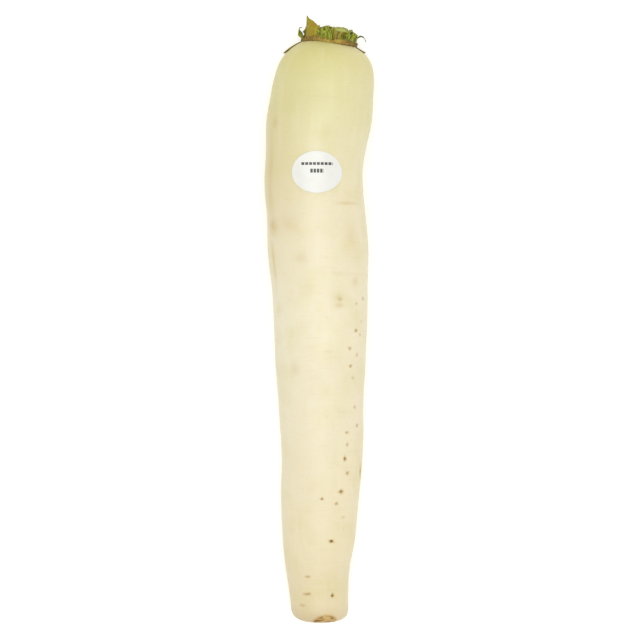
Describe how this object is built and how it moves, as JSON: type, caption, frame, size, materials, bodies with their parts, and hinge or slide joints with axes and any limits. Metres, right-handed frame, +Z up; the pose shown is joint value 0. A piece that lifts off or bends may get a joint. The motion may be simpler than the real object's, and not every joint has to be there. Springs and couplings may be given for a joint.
{
  "type": "daikon radish",
  "caption": "Long white radish root with a trimmed green leaf crown and a plain oval label, lying on its side.",
  "frame": {"origin": "on the surface the radish lies on, under the middle of its bounding box", "axes": "+Y along the root, from its tail to its leaf crown; +Z up, away from the surface; +X to the right when seen from above with the crown at the top"},
  "size_m": [0.0654, 0.3634, 0.0596],
  "materials": {
    "root_skin": "smooth, slightly waxy skin, pale green at the crown",
    "label_paper": "smooth white paper",
    "leaf_stalk": "fresh cut, fibrous",
    "leaf_blade": "limp, crinkled",
    "dry_leaf": "dried, papery"
  },
  "bodies": {
    "root": {"taproot": "root_skin", "label": "label_paper", "outer_stalk_1": "leaf_stalk", "outer_stalk_2": "leaf_stalk", "outer_stalk_3": "leaf_stalk", "outer_stalk_4": "leaf_stalk", "outer_stalk_5": "leaf_stalk", "outer_stalk_6": "leaf_stalk", "torn_stalk": "leaf_stalk", "inner_stalk_1": "leaf_stalk", "inner_stalk_2": "leaf_stalk", "inner_stalk_3": "leaf_stalk", "inner_stalk_4": "leaf_stalk", "inner_stalk_5": "leaf_stalk", "core_stalk_1": "leaf_stalk", "core_stalk_2": "leaf_stalk", "core_stalk_3": "leaf_stalk", "heart_bud": "leaf_stalk", "leaf_frill_1": "leaf_blade", "leaf_frill_2": "leaf_blade", "leaf_frill_3": "leaf_blade", "leaf_frill_4": "leaf_blade", "leaf_shred_left": "leaf_blade", "leaf_shred_right": "leaf_blade", "dry_sheath_1": "dry_leaf", "dry_sheath_2": "dry_leaf", "dry_sheath_3": "dry_leaf", "dry_sheath_4": "dry_leaf", "dry_sheath_5": "dry_leaf", "dry_scale_1": "dry_leaf", "dry_scale_2": "dry_leaf", "dry_scale_3": "dry_leaf", "dry_scale_4": "dry_leaf"}
  },
  "joints": []
}
